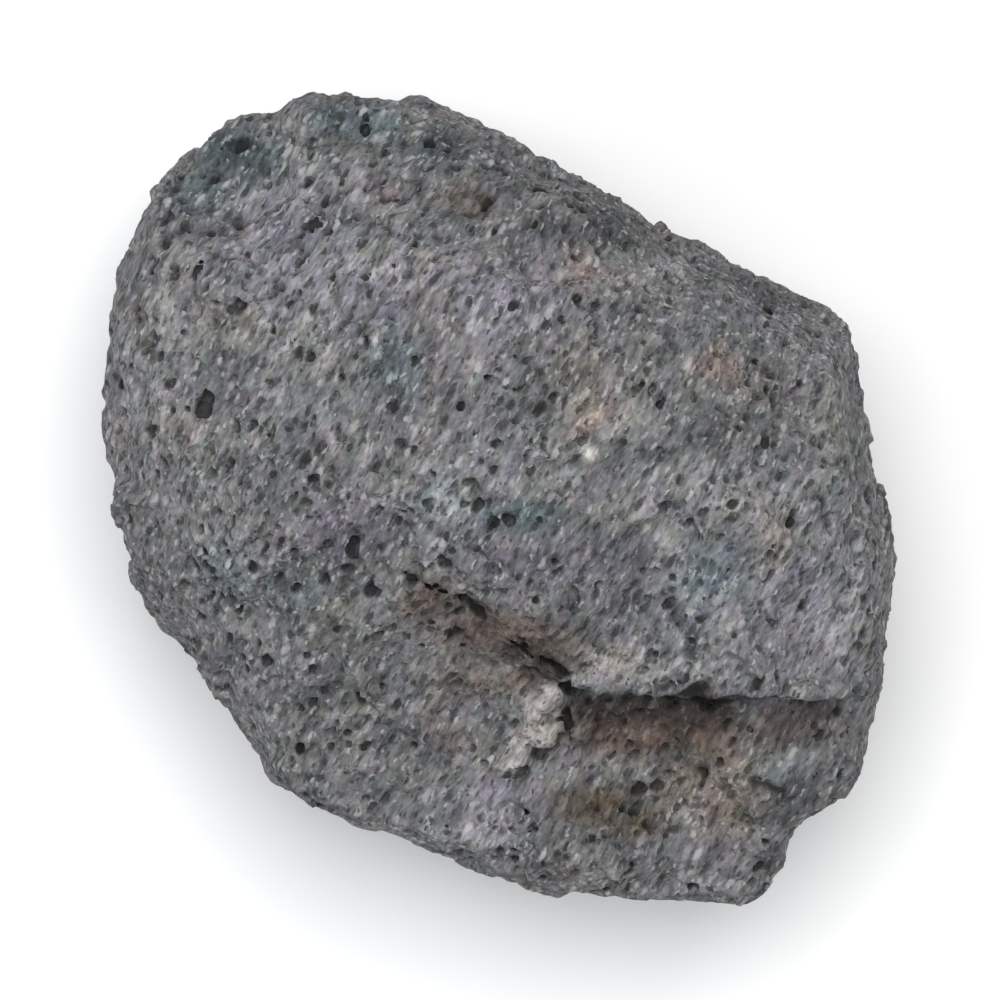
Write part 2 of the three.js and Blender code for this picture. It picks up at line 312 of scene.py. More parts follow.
class Tree:
    """A node tree with short ways to add and join its nodes."""

    def __init__(self, tree):
        self.tree = tree

    def feed(self, socket, value):
        """Links a socket to an input, or sets the input to a plain value."""
        if isinstance(value, bpy.types.NodeSocket):
            self.tree.links.new(value, socket)
        else:
            socket.default_value = value

    def add(self, kind, values=None, **settings):
        """Adds a node. values holds what feeds its inputs, by their names or numbers."""
        node = self.tree.nodes.new(kind)
        for name, value in settings.items():
            setattr(node, name, value)
        for key, value in (values or {}).items():
            self.feed(node.inputs[key], value)
        return node

    def math(self, operation, *values):
        """Maths on numbers."""
        return self.add("ShaderNodeMath", dict(enumerate(values)), operation=operation).outputs[0]

    def vector(self, operation, *values):
        """Vector maths, whose result is a vector, or a number for a dot product."""
        node = self.add("ShaderNodeVectorMath", operation=operation)
        for place, value in enumerate(values):
            scale = operation == "SCALE" and place == 1
            self.feed(node.inputs["Scale" if scale else place], value)
        return node.outputs["Value" if operation == "DOT_PRODUCT" else "Vector"]

    def ramp(self, value, low, high, to_low=0.0, to_high=1.0, smooth=True):
        """Maps value from low..high to to_low..to_high, and holds it there outside."""
        node = self.add(
            "ShaderNodeMapRange",
            {"Value": value, "From Min": low, "From Max": high, "To Min": to_low, "To Max": to_high},
            interpolation_type="SMOOTHSTEP" if smooth else "LINEAR",
            clamp=True,
        )
        return node.outputs["Result"]

    def noise(self, where, size, detail=2.0, roughness=0.5):
        """Noise whose lumps are about size across, as a number near 0.5."""
        node = self.add(
            "ShaderNodeTexNoise",
            {"Vector": where, "Scale": 1 / size, "Detail": detail, "Roughness": roughness},
        )
        return node.outputs[0]

    def noise_vector(self, where, size, reach):
        """A shift of up to about reach each way that changes over size."""
        node = self.add("ShaderNodeTexNoise", {"Vector": where, "Scale": 1 / size, "Detail": 1.0})
        centred = self.vector("SUBTRACT", node.outputs["Color"], (0.5, 0.5, 0.5))
        return self.vector("SCALE", centred, 2 * reach)

    def cells(self, where, size):
        """Cells about size across, each with a colour, a middle and the distance from it."""
        return self.add("ShaderNodeTexVoronoi", {"Vector": where, "Scale": 1 / size})

    def blend(self, share, first, second, mode="MIX"):
        """Mixes two colours."""
        node = self.add("ShaderNodeMix", data_type="RGBA", blend_type=mode, clamp_factor=True)
        share_socket, first_socket, second_socket = (node.inputs[place] for place in (0, 6, 7))
        self.feed(share_socket, share)
        self.feed(first_socket, first)
        self.feed(second_socket, second)
        return node.outputs[2]


def shown_output(node):
    """The output that a node with several data types shows for the one it is set to."""
    return next(socket for socket in node.outputs if socket.enabled)


def new_inputs(tree, rows):
    """Gives a geometry tree its geometry input and output, and the named inputs in rows."""
    tree.interface.new_socket("Geometry", in_out="INPUT", socket_type="NodeSocketGeometry")
    for name, kind in rows:
        tree.interface.new_socket(name, in_out="INPUT", socket_type=kind)
    tree.interface.new_socket("Geometry", in_out="OUTPUT", socket_type="NodeSocketGeometry")
    return tree.nodes.new("NodeGroupInput").outputs


# The stone's shape

def carving_tree(material):
    """Geometry nodes that turn the plain solid into broken, bubbled stone."""
    tree = bpy.data.node_groups.new("Carve lava", "GeometryNodeTree")
    given = new_inputs(tree, (
        ("Marks", "NodeSocketObject"),
        ("Skin Cell", "NodeSocketFloat"),
        ("Carve Cell", "NodeSocketFloat"),
        ("Softening", "NodeSocketInt"),
        ("Swell Height", "NodeSocketFloat"),
        ("Break Height", "NodeSocketFloat"),
        ("Crumble Height", "NodeSocketFloat"),
        ("Large Bubbles", "NodeSocketFloat"),
        ("Small Bubbles", "NodeSocketFloat"),
        ("Seed", "NodeSocketInt"),
    ))
    t = Tree(tree)
    position = t.add("GeometryNodeInputPosition").outputs[0]
    normal = t.add("GeometryNodeInputNormal").outputs[0]

    # The flat triangles of the plain solid become an even skin, and their edges are softened.
    grid = t.add(
        "GeometryNodeMeshToSDFGrid",
        {"Mesh": given["Geometry"], "Voxel Size": given["Skin Cell"]},
    )
    skin = t.add("GeometryNodeGridToMesh", {"Grid": grid.outputs[0], "Threshold": 0.0}).outputs[0]
    softened = t.add(
        "GeometryNodeBlurAttribute",
        {"Iterations": given["Softening"], "Weight": 1.0},
        data_type="FLOAT_VECTOR",
    )
    t.tree.links.new(position, next(s for s in softened.inputs if s.name == "Value" and s.enabled))
    skin = t.add(
        "GeometryNodeSetPosition",
        {"Geometry": skin, "Position": shown_output(softened)},
    ).outputs[0]

    # Broad swells, chipped planes and crumbly grain, fading out towards the face it rests on. Each chip is
    # a cell tilted its own way, and reaches its full height at chip_reach from its middle.
    swell = t.math("SUBTRACT", t.noise(position, 14 * MM, 3.0, 0.5), 0.5)
    warped = t.vector("ADD", position, t.noise_vector(position, 5 * MM, 1.6 * MM))
    chips = t.cells(warped, 9 * MM)
    tilt = t.vector("SUBTRACT", chips.outputs["Color"], (0.5, 0.5, 0.5))
    chip = t.vector("DOT_PRODUCT", t.vector("SUBTRACT", warped, chips.outputs["Position"]), tilt)
    chip_reach = 2.5 * MM
    crumble = t.math("SUBTRACT", t.noise(position, 3.2 * MM, 3.0, 0.6), 0.5)
    height = t.math("MULTIPLY", swell, given["Swell Height"])
    chip_height = t.math("MULTIPLY", chip, t.math("DIVIDE", given["Break Height"], chip_reach))
    height = t.math("ADD", height, chip_height)
    height = t.math("ADD", height, t.math("MULTIPLY", crumble, given["Crumble Height"]))
    above = t.add("ShaderNodeSeparateXYZ", {0: position}).outputs["Z"]
    height = t.math("MULTIPLY", height, t.ramp(above, 0.4 * MM, 3 * MM))
    skin = t.add(
        "GeometryNodeSetPosition",
        {"Geometry": skin, "Offset": t.vector("SCALE", normal, height)},
    ).outputs[0]
    skin_grid = t.add("GeometryNodeMeshToSDFGrid", {"Mesh": skin, "Voxel Size": given["Carve Cell"]})

    # No large bubble is scattered over a mark.
    marks = t.add("GeometryNodeObjectInfo", {"Object": given["Marks"]}, transform_space="ORIGINAL")
    beside = t.add("GeometryNodeProximity", {0: marks.outputs["Geometry"]}, target_element="POINTS")
    large_density = t.math(
        "MULTIPLY", given["Large Bubbles"], t.ramp(beside.outputs["Distance"], 1.6 * MM, 2.6 * MM))

    # Gas bubbles, each with a smaller one that opens into it along the flow.
    def bubbles(density, smallest, largest, rarity, sink, crowd_size, order):
        crowd = t.ramp(t.noise(position, crowd_size, 2.0), 0.32, 0.68, 0.15, 1.9)
        seed = t.math("ADD", given["Seed"], order)
        spots = t.add(
            "GeometryNodeDistributePointsOnFaces",
            {"Mesh": skin, "Density": t.math("MULTIPLY", density, crowd), "Seed": seed},
        )

        def chance(low, high, step):
            drawn = t.add("FunctionNodeRandomValue", data_type="FLOAT")
            open_inputs = {socket.name: socket for socket in drawn.inputs if socket.enabled}
            open_inputs["Min"].default_value = low
            open_inputs["Max"].default_value = high
            t.tree.links.new(t.math("ADD", given["Seed"], order + step), open_inputs["Seed"])
            return shown_output(drawn)

        share = t.math("POWER", chance(0.0, 1.0, 1), rarity)
        radius = t.math("MULTIPLY_ADD", share, largest - smallest, smallest)
        depth = t.math("MULTIPLY", radius, chance(*sink, 2))
        inward = t.vector("SCALE", spots.outputs["Normal"], t.math("MULTIPLY", depth, -1.0))
        placed = t.add("GeometryNodeSetPosition", {"Geometry": spots.outputs["Points"], "Offset": inward})
        main = t.add("GeometryNodeSetPointRadius", {"Points": placed.outputs[0], "Radius": radius})
        stray = t.add("ShaderNodeCombineXYZ", {
            "X": chance(-0.6, 0.6, 3), "Y": chance(-0.6, 0.6, 4), "Z": chance(-0.6, 0.6, 5)})
        along = t.vector("SCALE", FLOW, chance(0.6, 1.5, 7))
        aside = t.vector("SCALE", t.vector("ADD", stray.outputs[0], along), radius)
        budded = t.add("GeometryNodeSetPosition", {"Geometry": placed.outputs[0], "Offset": aside})
        bud = t.add("GeometryNodeSetPointRadius", {
            "Points": budded.outputs[0], "Radius": t.math("MULTIPLY", radius, chance(0.5, 0.9, 6))})
        return main.outputs[0], bud.outputs[0]

    pits = t.add("GeometryNodeJoinGeometry")
    for points in (
        *bubbles(large_density, *LARGE_BUBBLES, order=10),
        *bubbles(given["Small Bubbles"], *SMALL_BUBBLES, order=20),
    ):
        t.tree.links.new(points, pits.inputs[0])
    ball = t.add("GeometryNodeInputNamedAttribute", {"Name": "ball"}, data_type="FLOAT")
    raises = t.add("GeometryNodeInputNamedAttribute", {"Name": "raises"}, data_type="BOOLEAN")
    lowers = t.add("FunctionNodeBooleanMath", {0: shown_output(raises)}, operation="NOT")

    def balls(chosen):
        return t.add(
            "GeometryNodeMeshToPoints",
            {"Mesh": marks.outputs["Geometry"], "Selection": chosen, "Radius": shown_output(ball)},
        ).outputs[0]

    t.tree.links.new(balls(lowers.outputs[0]), pits.inputs[0])
    radius = t.add("GeometryNodeInputRadius").outputs[0]
    knob_grid = t.add("GeometryNodePointsToSDFGrid", {
        "Points": balls(shown_output(raises)), "Radius": radius, "Voxel Size": given["Carve Cell"]})
    raised_grid = t.add("GeometryNodeSDFGridBoolean", operation="UNION")
    for grid in (skin_grid, knob_grid):
        t.tree.links.new(grid.outputs[0], raised_grid.inputs[1])
    pit_grid = t.add("GeometryNodePointsToSDFGrid", {
        "Points": pits.outputs[0], "Radius": radius, "Voxel Size": given["Carve Cell"]})
    carved_grid = t.add(
        "GeometryNodeSDFGridBoolean",
        {0: raised_grid.outputs[0], 1: pit_grid.outputs[0]},
        operation="DIFFERENCE",
    )
    carved = t.add(
        "GeometryNodeGridToMesh",
        {"Grid": carved_grid.outputs[0], "Threshold": 0.0},
    ).outputs[0]

    # Sealed bubbles and crumbs cut loose are dropped, so that one closed stone is left.
    island = t.add("GeometryNodeInputMeshIsland").outputs["Island Index"]
    counted = t.add(
        "GeometryNodeAccumulateField",
        {"Value": 1.0, "Group ID": island},
        data_type="FLOAT",
        domain="POINT",
    )
    loose = t.math("LESS_THAN", counted.outputs["Total"], CRUMB_POINTS)
    carved = t.add("GeometryNodeDeleteGeometry", {"Geometry": carved, "Selection": loose}).outputs[0]

    # For the finish: how far each spot lies under the uncarved skin, and the stone's mottling.
    raised = t.add("GeometryNodeGridToMesh", {"Grid": raised_grid.outputs[0], "Threshold": 0.0})
    near = t.add("GeometryNodeProximity", {0: raised.outputs[0]}, target_element="FACES")
    for name, value in (
        ("depth", near.outputs["Distance"]),
        ("stray", t.noise(position, 16 * MM, 3.0, 0.6)),
        ("patchy", t.noise(position, 6.5 * MM, 3.0, 0.6)),
        ("blotchy", t.noise(t.vector("ADD", position, (0.3, 0.1, 0.2)), 2.4 * MM, 2.0, 0.6)),
    ):
        carved = t.add(
            "GeometryNodeStoreNamedAttribute",
            {"Geometry": carved, "Name": name, "Value": value},
            data_type="FLOAT",
            domain="POINT",
        ).outputs[0]

    # Uneven shapes for the round bubbles, fine grain, and the face it rests on pressed flat: the lowest
    # two millimetres sink by up to half a millimetre, and nothing goes under the floor.
    uneven = t.add("GeometryNodeSetPosition", {
        "Geometry": carved, "Offset": t.noise_vector(position, 2.2 * MM, 0.55 * MM)})
    grain = t.math("SUBTRACT", t.noise(position, 1.1 * MM, 2.0, 0.6), 0.5)
    grained = t.add("GeometryNodeSetPosition", {
        "Geometry": uneven.outputs[0],
        "Offset": t.vector("SCALE", normal, t.math("MULTIPLY", grain, 0.4 * MM))})
    sunk = t.add("ShaderNodeCombineXYZ", {"Z": t.ramp(above, 0.0, 2 * MM, 0.5 * MM, 0.0)}).outputs[0]
    floored = t.vector("MAXIMUM", t.vector("SUBTRACT", position, sunk), (-1.0, -1.0, 0.0))
    flat = t.add("GeometryNodeSetPosition", {"Geometry": grained.outputs[0], "Position": floored})
    whole = t.add("GeometryNodeRealizeInstances", {"Geometry": flat.outputs[0]})
    finished = t.add("GeometryNodeSetMaterial", {"Geometry": whole.outputs[0], "Material": material})
    t.add("NodeGroupOutput", {0: finished.outputs[0]})
    return tree


def merged_copy(node):
    """A copy of a CAD node's mesh with its loose triangles joined."""
    mesh = node.data.copy()
    work = bmesh.new()
    work.from_mesh(mesh)
    bmesh.ops.remove_doubles(work, verts=work.verts, dist=1e-6)
    work.to_mesh(mesh)
    work.free()
    mesh.materials.clear()
    return mesh


def balls_along(corners, first, last):
    """Places and radii of balls close together along a path, whose size wavers a little."""
    lengths = [0.0]
    for a, b in zip(corners, corners[1:]):
        lengths.append(lengths[-1] + (b - a).length)
    spacing = 0.4 * min(first, last)
    steps = max(2, round(lengths[-1] / spacing))
    for step in range(steps + 1):
        along = lengths[-1] * step / steps
        leg = max(i for i in range(len(corners) - 1) if lengths[i] <= along)
        share = (along - lengths[leg]) / (lengths[leg + 1] - lengths[leg])
        radius = first + (last - first) * step / steps
        waver = 1 + 0.2 * math.sin(2.3 * step) * math.sin(0.9 * step + 1)
        yield corners[leg].lerp(corners[leg + 1], share), radius * waver


def skin_tree(mesh):
    """A search tree of the faces of a mesh."""
    work = bmesh.new()
    work.from_mesh(mesh)
    tree = BVHTree.FromBMesh(work)
    work.free()
    return tree


def upper_skin(skin, x, y):
    """The point of the skin that is seen from above at (x, y), in millimetres, and the way it faces."""
    hit, facing, _index, _distance = skin.ray_cast(Vector((x, y, 100)) * MM, Vector((0, 0, -1)))
    if hit is None:
        raise RuntimeError(f"a mark or patch at {x}, {y} lies off the stone")
    return hit, facing


def mark_balls(mesh):
    """Centres and radii, in metres, of the balls that cut or raise the marks, and which of them raise."""
    skin = skin_tree(mesh)
    centres, radii, added = [], [], []
    for marks, raises in ((GROOVES, False), (KNOBS, True)):
        for _name, path, (first, last), rise in marks:
            for place, radius in balls_along([Vector((x, y, 0)) for x, y in path], first, last):
                hit, facing = upper_skin(skin, place.x, place.y)
                centres.append(hit + facing * rise * MM)
                radii.append(radius * MM)
                added.append(raises)
    for (x, y), length, radius in PITS:
        for step in (-0.5, -0.25, 0.0, 0.25, 0.5):
            place = Vector((x, y, 0)) + Vector(FLOW) * length * step
            hit, facing = upper_skin(skin, place.x, place.y)
            centres.append(hit - facing * 0.3 * radius * MM)
            radii.append(radius * (1 - 0.5 * abs(step)) * MM)
            added.append(False)
    for _name, path, (first, last) in CUTS:
        for place, radius in balls_along([Vector(corner) for corner in path], first, last):
            centres.append(place * MM)
            radii.append(radius * MM)
            added.append(False)
    return centres, radii, added


def mark_object(mesh):
    """The balls as loose points, each with its radius and whether it raises the skin."""
    centres, radii, added = mark_balls(mesh)
    points = bpy.data.meshes.new("marks")
    points.from_pydata(centres, [], [])
    points.attributes.new("ball", "FLOAT", "POINT").data.foreach_set("value", radii)
    points.attributes.new("raises", "BOOLEAN", "POINT").data.foreach_set("value", added)
    found = bpy.data.objects.new("marks", points)
    bpy.context.scene.collection.objects.link(found)
    return found


def set_inputs(modifier, values):
    """Sets a geometry modifier's inputs through the identifiers of its sockets."""
    for item in modifier.node_group.interface.items_tree:
        if item.in_out == "INPUT" and item.name in values:
            modifier[item.identifier] = values[item.name]


def coordinates(mesh):
    """The places of a mesh's points, one row each."""
    found = np.empty(len(mesh.vertices) * 3, np.float32)
    mesh.vertices.foreach_get("co", found)
    return found.reshape(-1, 3)


def store(mesh, name, values):
    """Stores a number at each point of a mesh."""
    mesh.attributes.new(name, "FLOAT", "POINT").data.foreach_set("value", values.astype(np.float32))


def mark_tints(mesh):
    """Stores how strongly each tint, with the painted shade and the patches of painted light and shade,
    shows at each point, from patches that fade from their middles.
    """
    place = coordinates(mesh) / MM
    skin = skin_tree(mesh)
    shown = {mask: np.zeros(len(place)) for mask in MASKS}
    for mask, (x, y), half, strength in PATCHES:
        middle = upper_skin(skin, x, y)[0] / MM
        far = ((place - middle) / (*half, PATCH_DEPTH)) ** 2
        shown[mask] = np.maximum(shown[mask], strength * np.exp(-0.8 * far.sum(1)))
    for mask, strengths in shown.items():
        store(mesh, mask, strengths)


def evaluated_mesh(piece):
    """A piece with its modifiers applied, as a plain mesh."""
    return bpy.data.meshes.new_from_object(piece.evaluated_get(bpy.context.evaluated_depsgraph_get()))


def stone_mesh(node, settings, material):
    """The carved stone as one plain mesh."""
    source = merged_copy(node)
    marks = mark_object(source)
    plain = bpy.data.objects.new("plain_stone", source)
    bpy.context.scene.collection.objects.link(plain)
    carve = plain.modifiers.new("Carve", "NODES")
    carve.node_group = carving_tree(material)
    set_inputs(carve, {
        "Marks": marks,
        "Skin Cell": settings.skin_cell,
        "Carve Cell": settings.carve_cell,
        "Softening": settings.softening,
        "Swell Height": settings.swell_height,
        "Break Height": settings.break_height,
        "Crumble Height": settings.crumble_height,
        "Large Bubbles": settings.large_bubbles,
        "Small Bubbles": settings.small_bubbles,
        "Seed": settings.seed,
    })
    whole = evaluated_mesh(plain)
    triangles = sum(len(face.vertices) - 2 for face in whole.polygons)
    carved = bpy.data.objects.new("carved_stone", whole)
    bpy.context.scene.collection.objects.link(carved)
    thin = carved.modifiers.new("Thin", "DECIMATE")
    thin.ratio = min(1.0, settings.triangles / triangles)
    thin.use_collapse_triangulate = True
    finished = evaluated_mesh(carved)
    place = coordinates(finished)
    place[:, 2] = np.maximum(place[:, 2], 0)
    finished.vertices.foreach_set("co", place.ravel())
    for helper in (plain, marks, carved):
        bpy.data.objects.remove(helper)
    finished.shade_smooth()
    return finished


# The stone's finish

def lava_material(settings):
    """Grey lava: violet, teal, brown and pale tints, mineral flecks, patches of painted light and shade,
    and painted shade in the deep corners, the pinholes and the pits, deeper as the pits deepen.
    """
    material = bpy.data.materials.new("vesicular_lava")
    material.use_nodes = True
    material.node_tree.nodes.clear()
    t = Tree(material.node_tree)
    where = t.add("ShaderNodeTexCoord").outputs["Object"]
    field = {
        name: t.add("ShaderNodeAttribute", attribute_name=name).outputs["Fac"]
        for name in (*MASKS, *FIELDS)
    }
    patchy = field["patchy"]
    blotchy = field["blotchy"]
    mottled = t.math("MULTIPLY_ADD", blotchy, 0.7, t.math("MULTIPLY_ADD", patchy, 0.6, -0.65))

    def shown(mask, cut):
        """A mask broken up by the stone's own mottling. Nothing shows where the mask is nil."""
        lifted = t.math("ADD", field[mask], mottled)
        return t.math("MULTIPLY", t.ramp(lifted, cut - 0.35, cut + 0.45), t.ramp(field[mask], 0.0, 0.2))

    # The stone's own grey, with strays of its colours all over, and then the tints and the painted shade
    # at their own places.
    colour = t.blend(t.ramp(patchy, 0.35, 0.65), settings.grey, settings.warm_grey)
    colour = t.blend(t.math("MULTIPLY", t.ramp(blotchy, 0.42, 0.6), 0.3), colour, settings.violet)
    colour = t.blend(t.math("MULTIPLY", t.ramp(field["stray"], 0.56, 0.7), 0.25), colour, settings.brown)
    colour = t.blend(t.math("MULTIPLY", t.ramp(field["stray"], 0.42, 0.3), 0.3), colour, settings.teal)
    for mask, cut, share in TINTS:
        colour = t.blend(t.math("MULTIPLY", shown(mask, cut), share), colour, getattr(settings, mask))

    # Grain drawn out along the flow: lighter and darker stone, from coarse to fine.
    drawn_out = 0.62
    lengthwise = t.vector("SCALE", FLOW, t.vector("DOT_PRODUCT", where, FLOW))
    flowing = t.vector("SUBTRACT", where, t.vector("SCALE", lengthwise, drawn_out))
    coarse = t.noise(flowing, 1.1 * MM, 2.0, 0.65)
    fine = t.noise(flowing, 0.42 * MM, 1.0, 0.6)
    tone = t.math("MULTIPLY", t.ramp(patchy, 0.3, 0.7, 0.72, 1.28, smooth=False),
                  t.ramp(blotchy, 0.3, 0.7, 0.86, 1.14, smooth=False))
    tone = t.math("MULTIPLY", tone, t.ramp(coarse, 0.3, 0.7, 0.48, 1.52, smooth=False))
    tone = t.math("MULTIPLY", tone, t.ramp(fine, 0.3, 0.7, 0.78, 1.22, smooth=False))
    # The light and dark patches: painted light and painted shade, with some of the stone's own paler and
    # deeper tone.
    shift = t.math("SUBTRACT", field["light"], field["dark"])
    tone = t.math("MULTIPLY", tone, t.math("MULTIPLY_ADD", shift, 0.48, 1.0))
    shade = t.add("ShaderNodeCombineColor", {0: tone, 1: tone, 2: tone}).outputs[0]
    colour = t.blend(1.0, colour, shade, "MULTIPLY")

    # Mineral flecks and pinholes: small spots in some of the cells of a scatter. The dark pinholes and
    # specks are painted shade of holes too small to carve; the bump also dents the larger ones. The flecks
    # are fainter where the stone has stains or painted shade.
    shifted = t.vector("ADD", flowing, t.noise_vector(where, 0.7 * MM, 0.3 * MM))
    spot = 0.55

    def scatter(size):
        cells = t.cells(shifted, size)
        chance = t.add("ShaderNodeSeparateColor", {0: cells.outputs["Color"]}).outputs["Red"]
        inside = t.ramp(cells.outputs["Distance"], spot, 0.3 * spot)
        fleck = t.math("MULTIPLY", inside, t.ramp(chance, 0.6, 0.95))
        hole = t.math("MULTIPLY", inside, t.ramp(chance, 0.42, 0.15))
        return fleck, hole, cells.outputs["Color"]

    fleck, pinhole, grains = scatter(1.15 * MM)
    speck, prick, _grains = scatter(0.6 * MM)
    colour = t.blend(0.05, colour, grains, "OVERLAY")
    light_spots = t.math("MAXIMUM", fleck, speck)
    dark_spots = t.math("MAXIMUM", pinhole, prick)
    stained_or_shaded = t.math("MAXIMUM", field["painted_shade"], t.math("MAXIMUM", field["brown"], field["ochre"]))
    clean = t.ramp(stained_or_shaded, 0.6, 0.1, 0.12, 0.44)
    colour = t.blend(t.math("MULTIPLY", light_spots, clean), colour, settings.fleck)
    colour = t.blend(t.math("MULTIPLY", dark_spots, 0.75), colour, settings.pinhole_shade)

    # Painted shade in the bubbles, deeper with their depth. The deep cuts, which lie in shadow, need less
    # of it.
    hollow = t.math("MULTIPLY", t.ramp(field["depth"], 0.15 * MM, 0.9 * MM),
                    t.ramp(field["depth"], 1.4 * MM, 2.4 * MM, 1.0, 0.25))
    colour = t.blend(t.math("MULTIPLY", hollow, 0.9), colour, settings.bubble_shade, "MULTIPLY")

    rise = t.math("MULTIPLY_ADD", pinhole, -0.9, t.math("MULTIPLY_ADD", fine, 0.4, coarse))
    bump = t.add("ShaderNodeBump", {"Strength": 0.9, "Distance": 0.4 * MM, "Height": rise})
    rough = t.ramp(light_spots, 0.0, 1.0, 0.92, 0.6, smooth=False)
    shader = t.add("ShaderNodeBsdfPrincipled", {
        "Base Color": colour, "Roughness": rough, "Normal": bump.outputs[0]})
    shader.inputs["Specular IOR Level"].default_value = 0.35
    t.add("ShaderNodeOutputMaterial", {"Surface": shader.outputs[0]})
    return material


# Flat maps of the stone, for a finish that is baked

def bake_map(mesh):
    """Adds the map OFBake: one flat view of the stone from each of the six sides, laid side by side."""
    place = coordinates(mesh)
    edges = np.empty(len(mesh.edges) * 2, np.int32)
    mesh.edges.foreach_get("vertices", edges)
    edges = edges.reshape(-1, 2)
    facing = np.empty(len(mesh.vertices) * 3, np.float32)
    mesh.vertices.foreach_get("normal", facing)
    facing = facing.reshape(-1, 3)
    smoothing_rounds = 14
    for _round in range(smoothing_rounds):
        total = facing.copy()
        for axis in range(3):
            total[:, axis] += np.bincount(edges[:, 0], facing[edges[:, 1], axis], len(facing))
            total[:, axis] += np.bincount(edges[:, 1], facing[edges[:, 0], axis], len(facing))
        facing = total / np.linalg.norm(total, axis=1, keepdims=True)

    corners = np.empty(len(mesh.loops), np.int32)
    mesh.loops.foreach_get("vertex_index", corners)
    faces = corners.reshape(-1, 3)
    towards = facing[faces].mean(1)
    middle = place[faces].mean(1)
    side = np.abs(towards).argmax(1)
    view = side * 2 + (towards[np.arange(len(side)), side] < 0)

    # Views 0 to 5 look from +X, -X, +Y, -Y, +Z and -Z. What the ledge covers gets views 6 and 7, so that
    # it doesn't lie over the crown or the base.
    skin = skin_tree(mesh)
    clear = 4 * MM
    top, base = 4, 5
    for upright, direction in ((top, 1), (base, -1)):
        for index in np.flatnonzero(view == upright):
            start = Vector(middle[index]) + Vector((0, 0, clear * direction))
            if skin.ray_cast(start, Vector((0, 0, direction)))[0] is not None:
                view[index] = upright + 2

    flat_axes = ((1, 2), (1, 2), (0, 2), (0, 2), (0, 1), (0, 1), (0, 1), (0, 1))
    gap = 2 * MM
    rows = ((4, 5), (2, 3), (0, 1), (6, 7))
    uv = np.zeros((len(corners), 2))
    high, widest = gap, 0.0
    shown = np.repeat(view, 3)
    for row in rows:
        across, tallest = gap, 0.0
        for number in row:
            worn = shown == number
            if not worn.any():
                continue
            spots = place[corners[worn]][:, flat_axes[number]]
            low = spots.min(0)
            span = np.ptp(spots, axis=0)
            uv[worn] = spots - low + (across, high)
            across += span[0] + gap
            tallest = max(tallest, span[1])
        high += tallest + gap
        widest = max(widest, across)
    uv /= max(high, widest)
    layer = mesh.uv_layers.new(name="OFBake")
    layer.uv.foreach_set("vector", uv.astype(np.float32).ravel())


# Settings, operators and panel

def colour_setting(name, description, default):
    """A setting that holds a colour."""
    return bpy.props.FloatVectorProperty(
        name=name,
        description=description,
        default=(*default, 1.0),
        size=4,
        subtype="COLOR",
        min=0.0,
        max=1.0,
    )


def length_setting(name, description, default):
    """A setting that holds a length in metres."""
    return bpy.props.FloatProperty(
        name=name,
        description=description,
        default=default,
        unit="LENGTH",
        subtype="DISTANCE",
        precision=5,
    )


def number_setting(name, description, default, subtype="NONE"):
    """A setting that holds a number."""
    return bpy.props.FloatProperty(
        name=name, description=description, default=default, subtype=subtype)


def count_setting(name, description, default):
    """A setting that holds a whole number."""
    return bpy.props.IntProperty(name=name, description=description, default=default)


class StoneSettings(bpy.types.PropertyGroup):
    """Sizes and colours of the stone."""

    skin_cell: length_setting("Skin cell", "Cell of the softened skin", 0.8 * MM)
    carve_cell: length_setting("Carving cell", "Cell in which the bubbles are cut", 0.4 * MM)
    softening: count_setting("Softening", "Rounds of softening of the edges", 4)
    swell_height: length_setting("Swells", "Height of the broad swells", 2.6 * MM)
    break_height: length_setting("Chips", "Height of the chipped planes", 0.65 * MM)
    crumble_height: length_setting("Crumble", "Height of the crumbly grain", 1.3 * MM)
    large_bubbles: number_setting("Large bubbles", "Large bubbles on a square metre", 12000.0)
    small_bubbles: number_setting("Small bubbles", "Small bubbles on a square metre", 230000.0)
    seed: count_setting("Seed", "Seed of the bubbles", 7)
    triangles: count_setting("Triangles", "Most triangles in the stone", 190000)
    grey: colour_setting("Grey", "Cool grey of the stone", (0.124, 0.127, 0.132))
    warm_grey: colour_setting("Warm grey", "Warmer grey of the stone", (0.132, 0.129, 0.123))
    violet: colour_setting("Violet", "Violet grey of the crown", (0.122, 0.115, 0.144))
    teal: colour_setting("Teal", "Blue-green grey patches", (0.088, 0.114, 0.126))
    olive: colour_setting("Olive", "Green-grey patches", (0.126, 0.126, 0.106))
    rose: colour_setting("Rose", "Pink oxide spots", (0.180, 0.118, 0.104))
    tan: colour_setting("Tan", "Pale brown dust", (0.150, 0.120, 0.094))
    brown: colour_setting("Brown", "Rust brown of the hollow", (0.086, 0.058, 0.044))
    ochre: colour_setting("Ochre", "Ochre stain at the rim", (0.104, 0.075, 0.042))
    pale: colour_setting("Pale", "Fresh pale break", (0.36, 0.335, 0.32))
    # Painted shade: the dark brown laid in the deep corners, under the lip and along the cracks.
    painted_shade: colour_setting("Painted shade", "Dark brown of the deep corners", (0.030, 0.022, 0.018))
    fleck: colour_setting("Flecks", "Light mineral flecks", (0.46, 0.47, 0.48))
    # Painted shade of the pinholes and specks too small to carve.
    pinhole_shade: colour_setting("Pinholes", "Dark pinholes and specks", (0.016, 0.015, 0.016))
    # Painted shade deep in the bubbles.
    bubble_shade: colour_setting("Bubble shade", "Share of the colour left deep in the bubbles", (0.11, 0.105, 0.11))


